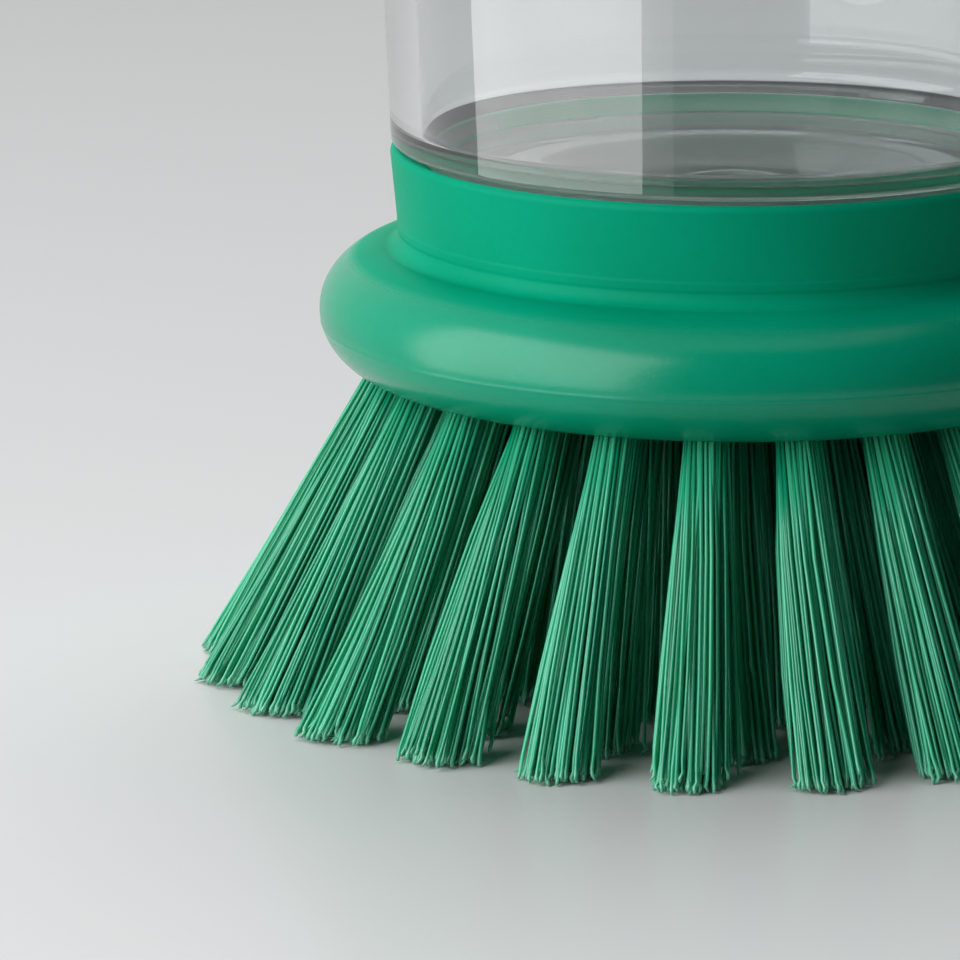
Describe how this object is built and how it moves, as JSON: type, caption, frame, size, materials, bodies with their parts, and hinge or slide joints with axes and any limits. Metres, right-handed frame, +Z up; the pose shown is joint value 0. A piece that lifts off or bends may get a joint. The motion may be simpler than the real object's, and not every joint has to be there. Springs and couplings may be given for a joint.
{
  "type": "soap-dispensing dish brush",
  "caption": "Round palm brush for dishes: flared bristle tufts on a ringed head, a clear soap reservoir above it and a domed lid with a press button.",
  "frame": {"origin": "on the brush's axis, in the plane of the trimmed bristle tips that it stands on", "axes": "+Z up along the axis, from the bristle tips to the press button; -Y is the side the picture shows"},
  "size_m": [0.0826, 0.0826, 0.0988],
  "materials": {
    "head_plastic": "satin",
    "lid_plastic": "satin",
    "bristle": "gloss",
    "anchor_wire": "drawn",
    "spring_wire": "drawn",
    "silicone": "matte",
    "green_elastomer": "matte",
    "white_plastic": "satin",
    "clear_plastic": "polished"
  },
  "bodies": {
    "head": {"brush_head": "head_plastic", "outer_bristles": "bristle", "middle_bristles": "bristle", "inner_bristles": "bristle", "tuft_anchors": "anchor_wire", "slit_valve": "silicone", "valve_ring": "head_plastic"},
    "port_seal": {"port_gasket": "green_elastomer"},
    "tank": {"reservoir": "clear_plastic"},
    "lid_seal": {"lid_gasket": "silicone"},
    "pump": {"pump_barrel": "white_plastic", "return_spring": "spring_wire"},
    "cap": {"lid": "lid_plastic"},
    "button": {"push_button": "lid_plastic", "piston_ring": "silicone"}
  },
  "joints": [
    {"name": "tank_rise", "type": "slide", "parent": "head", "child": "port_seal", "axis": [0, 0, 1], "range_m": [0, 0.003]},
    {"name": "tank_turn", "type": "hinge", "parent": "port_seal", "child": "tank", "pos_m": [0, 0, 0.04], "axis": [0, 0, 1], "range_deg": [0, 270]},
    {"name": "lid_rise", "type": "slide", "parent": "tank", "child": "lid_seal", "axis": [0, 0, 1], "range_m": [0, 0.005]},
    {"name": "lid_lift", "type": "slide", "parent": "lid_seal", "child": "pump", "axis": [0, 0, 1], "range_m": [0, 0.03]},
    {"name": "lid_turn", "type": "hinge", "parent": "pump", "child": "cap", "pos_m": [0, 0, 0.09], "axis": [0, 0, 1], "range_deg": [0, 450]},
    {"name": "button_press", "type": "slide", "parent": "pump", "child": "button", "axis": [0, 0, -1], "range_m": [0, 0.004], "stiffness_N_per_m": 900, "springref_m": -0.003, "deforming": ["return_spring"]}
  ],
  "couplings": [
    {"joint": "tank_rise", "follows": "tank_turn", "m_per_rad": 0.000636},
    {"joint": "lid_rise", "follows": "lid_turn", "m_per_rad": 0.000636}
  ]
}
